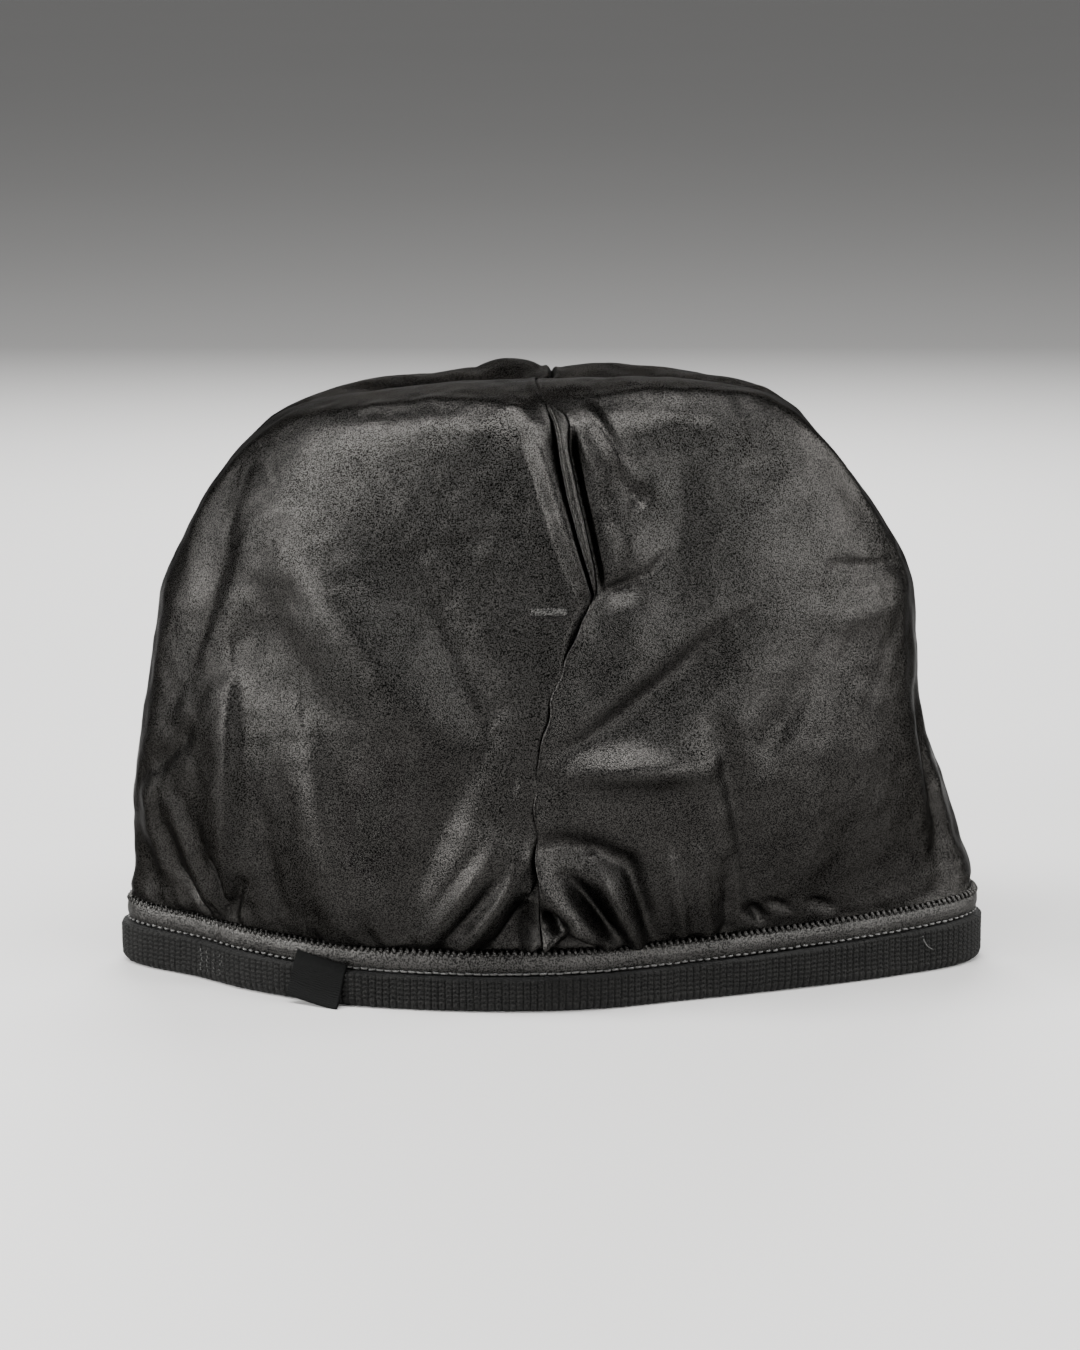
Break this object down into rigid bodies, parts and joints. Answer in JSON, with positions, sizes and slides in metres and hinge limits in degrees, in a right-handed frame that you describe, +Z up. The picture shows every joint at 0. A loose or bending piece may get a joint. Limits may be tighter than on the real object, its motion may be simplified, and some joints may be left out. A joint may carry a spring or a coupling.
{
  "type": "beanie",
  "caption": "Knit beanie turned satin lining outwards, standing on its ribbed rim, with a front dart, a padded hem roll and a bare label.",
  "frame": {"origin": "on the surface that the hat stands on, under the middle of its bounding box", "axes": "+Z up to the crown, +X to the right as the front seam is faced, -Y to the front, where the long seam runs"},
  "size_m": [0.2526, 0.121, 0.1763],
  "materials": {
    "satin": "soft satin sheen, fine twill grain",
    "knit": "matt rib knit",
    "woven_label": "matt woven tape"
  },
  "bodies": {
    "root": {"knit_shell": "knit", "satin_left": "satin", "satin_right": "satin", "hem_binding": "satin", "hem_label": "woven_label"}
  },
  "joints": []
}
